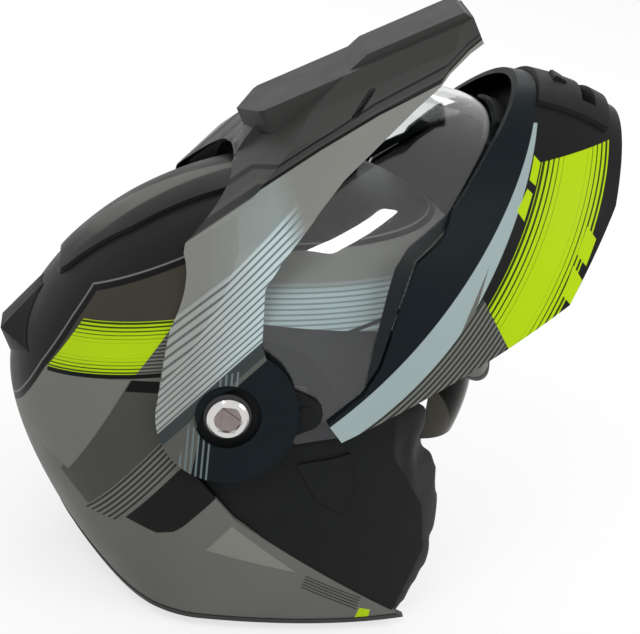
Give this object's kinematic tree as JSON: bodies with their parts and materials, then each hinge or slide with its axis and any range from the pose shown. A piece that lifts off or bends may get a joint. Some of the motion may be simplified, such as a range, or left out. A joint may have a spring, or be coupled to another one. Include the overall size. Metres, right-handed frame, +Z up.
{
  "type": "dual sport helmet",
  "caption": "Flip-up adventure motorcycle helmet with raised chin bar, clear shield, sun peak and lowered smoked sun visor.",
  "frame": {"origin": "on the plane the helmet stands on, straight below the hinge axis, midway between the sides", "axes": "+X to the wearer's front, +Y to the wearer's left, +Z up; the chin bar, peak and shield turn about Y"},
  "size_m": [0.3403, 0.2574, 0.3609],
  "materials": {
    "shell_paint": "matte lacquer",
    "chin_paint": "matte lacquer",
    "peak_paint": "matte lacquer",
    "fairing_paint": "matte lacquer",
    "black_plastic": "satin",
    "black_liner": "matt",
    "black_rubber": "matt",
    "steel": "brushed",
    "chrome": "polished",
    "clear_shield": "clear",
    "smoked_visor": "smoked",
    "foam": "matt",
    "liner_fabric": "knitted",
    "webbing": "woven"
  },
  "bodies": {
    "helmet": {"outer_shell": "shell_paint", "side_frame_right": "black_plastic", "side_frame_left": "black_plastic", "pivot_bolt_right": "steel", "pivot_bolt_left": "steel", "pivot_washer_right": "black_rubber", "pivot_washer_left": "black_rubber", "pivot_nut_right": "chrome", "pivot_nut_left": "chrome", "impact_liner": "foam", "comfort_liner": "liner_fabric", "cheek_pad_right": "liner_fabric", "cheek_pad_left": "liner_fabric", "neck_roll": "liner_fabric", "base_trim": "black_rubber", "brow_trim": "black_rubber", "crown_fairing": "fairing_paint", "rear_spoiler": "black_plastic", "chin_strap": "webbing", "strap_anchor_right": "steel", "strap_anchor_left": "steel", "strap_buckle": "black_plastic", "visor_slider_base": "black_plastic"},
    "chin_bar": {"chin_bar_shell": "chin_paint", "chin_bar_liner": "black_liner", "hinge_arm_right": "steel", "hinge_arm_left": "steel", "chin_vent_cover": "black_plastic", "breath_guard": "black_rubber"},
    "release_button": {"release_button": "black_plastic"},
    "chin_vent_slider": {"chin_vent_slider": "black_plastic"},
    "shield": {"face_shield": "clear_shield", "shield_cover_right": "black_plastic", "shield_cover_left": "black_plastic", "shield_tab": "black_plastic"},
    "peak": {"peak": "peak_paint"},
    "sun_visor": {"sun_visor": "smoked_visor"},
    "visor_slider": {"visor_slider": "black_plastic"},
    "top_vent_slider": {"top_vent_slider": "black_plastic"},
    "buckle_lever": {"buckle_lever": "steel"}
  },
  "joints": [
    {"name": "chin_bar_hinge", "type": "hinge", "parent": "helmet", "child": "chin_bar", "pos_m": [0, 0, 0.144], "axis": [0, -1, 0], "range_deg": [-68, 0]},
    {"name": "shield_hinge", "type": "hinge", "parent": "chin_bar", "child": "shield", "pos_m": [0, 0, 0.144], "axis": [0, -1, 0], "range_deg": [0, 1.5]},
    {"name": "peak_hinge", "type": "hinge", "parent": "helmet", "child": "peak", "pos_m": [0, 0, 0.144], "axis": [0, -1, 0], "range_deg": [-12, 0]},
    {"name": "sun_visor_hinge", "type": "hinge", "parent": "helmet", "child": "sun_visor", "pos_m": [0.045, 0, 0.144], "axis": [0, -1, 0], "range_deg": [0, 42]},
    {"name": "visor_slide", "type": "slide", "parent": "helmet", "child": "visor_slider", "axis": [1, 0, 0], "range_m": [0, 0.02]},
    {"name": "top_vent_slide", "type": "slide", "parent": "helmet", "child": "top_vent_slider", "axis": [0.9986, 0, 0.0523], "range_m": [0, 0.008]},
    {"name": "chin_vent_slide", "type": "slide", "parent": "chin_bar", "child": "chin_vent_slider", "axis": [0, 1, 0], "range_m": [0, 0.006]},
    {"name": "release_button_push", "type": "slide", "parent": "chin_bar", "child": "release_button", "axis": [-0.9272, 0, 0.3746], "range_m": [0, 0.003], "stiffness_N_per_m": 400},
    {"name": "buckle_lever_hinge", "type": "hinge", "parent": "helmet", "child": "buckle_lever", "pos_m": [0.04543, -0.049, 0.0696], "axis": [0.6157, 0, 0.788], "range_deg": [0, 55]}
  ],
  "couplings": [
    {"joint": "peak_hinge", "follows": "chin_bar_hinge", "ratio": 0.17647},
    {"joint": "visor_slide", "follows": "sun_visor_hinge", "m_per_rad": 0.02728}
  ]
}
